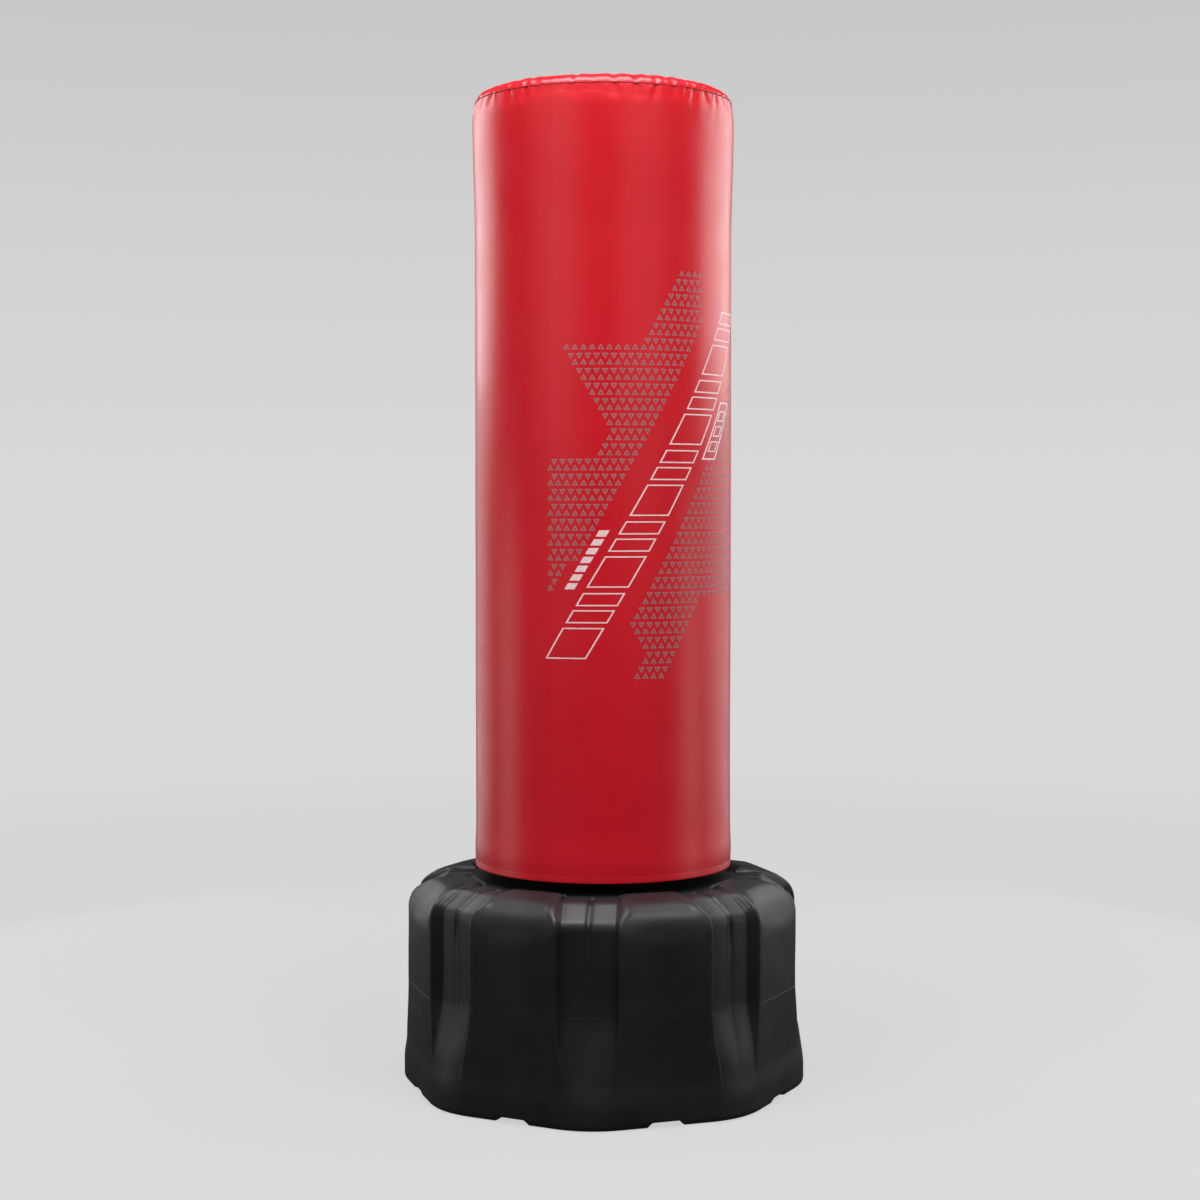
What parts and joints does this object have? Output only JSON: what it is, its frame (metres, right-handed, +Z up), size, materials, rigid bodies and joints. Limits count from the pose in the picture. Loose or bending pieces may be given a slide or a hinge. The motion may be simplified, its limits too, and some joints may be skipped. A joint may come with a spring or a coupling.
{
  "type": "free standing bag",
  "caption": "Free standing boxing bag: padded cylinder in a red vinyl cover on a lobed, sand-filled plastic base, with a screw-on core, filler cap and back zip.",
  "frame": {"origin": "centre of the base on the floor, at the level of the feet", "axes": "+Z up the bag's axis, -Y the front, where one channel of the base faces, +Y the back with the zip, +X to the right seen from the front"},
  "size_m": [0.7156, 0.7156, 1.761],
  "materials": {
    "tank_plastic": "satin",
    "sand": "matte",
    "fitting_plastic": "satin",
    "gasket_rubber": "matte",
    "cap_plastic": "satin",
    "washer_plastic": "satin",
    "core_plastic": "satin",
    "plywood": "matte",
    "screw_steel": "satin",
    "firm_foam": "matte",
    "soft_foam": "matte",
    "red_vinyl": "satin",
    "black_vinyl": "satin",
    "dark_thread": "matte",
    "red_thread": "matte",
    "zip_tape": "matte",
    "zip_coil": "satin",
    "zip_metal": "gloss"
  },
  "bodies": {
    "base": {"base_shell": "tank_plastic", "ballast_sand": "sand", "filler_insert": "fitting_plastic"},
    "washer": {"slip_washer": "washer_plastic"},
    "bag": {"threaded_collar": "core_plastic", "bottom_plate": "plywood", "collar_screws": "screw_steel", "core_tube": "core_plastic", "core_cap": "core_plastic", "firm_foam": "firm_foam", "soft_foam": "soft_foam", "top_foam": "soft_foam", "cover_sleeve": "red_vinyl", "cover_top": "red_vinyl", "cover_bottom": "black_vinyl", "top_seam_thread": "dark_thread", "hem_thread": "red_thread", "zip_tape_left": "zip_tape", "zip_tape_right": "zip_tape", "zip_teeth_left": "zip_coil", "zip_teeth_right": "zip_coil", "zip_bottom_stops": "zip_metal", "zip_end_stop": "zip_metal", "zip_stitching": "red_thread"},
    "gasket": {"filler_gasket": "gasket_rubber"},
    "cap": {"filler_cap": "cap_plastic"},
    "slider": {"zip_slider": "zip_metal", "zip_pull_pin": "zip_metal"},
    "pull": {"zip_pull": "zip_metal"}
  },
  "joints": [
    {"name": "bag_lift", "type": "slide", "parent": "base", "child": "washer", "axis": [0, 0, 1], "range_m": [0, 0.06]},
    {"name": "bag_turn", "type": "hinge", "parent": "washer", "child": "bag", "pos_m": [0, 0, 0.386], "axis": [0, 0, 1], "range_deg": [0, 1800]},
    {"name": "cap_lift", "type": "slide", "parent": "base", "child": "gasket", "axis": [0, 0, 1], "range_m": [0, 0.02]},
    {"name": "cap_turn", "type": "hinge", "parent": "gasket", "child": "cap", "pos_m": [0.10409, 0.25129, 0.382], "axis": [0, 0, 1], "range_deg": [0, 1440]},
    {"name": "zip_slide", "type": "slide", "parent": "bag", "child": "slider", "axis": [0, 0, 1], "range_m": [0, 1.02]},
    {"name": "pull_swing", "type": "hinge", "parent": "slider", "child": "pull", "pos_m": [0, 0.2334, 0.4404], "axis": [1, 0, 0], "range_deg": [0, 165]}
  ],
  "couplings": [
    {"joint": "bag_lift", "follows": "bag_turn", "m_per_rad": 0.0019099},
    {"joint": "cap_lift", "follows": "cap_turn", "m_per_rad": 0.00079577}
  ]
}
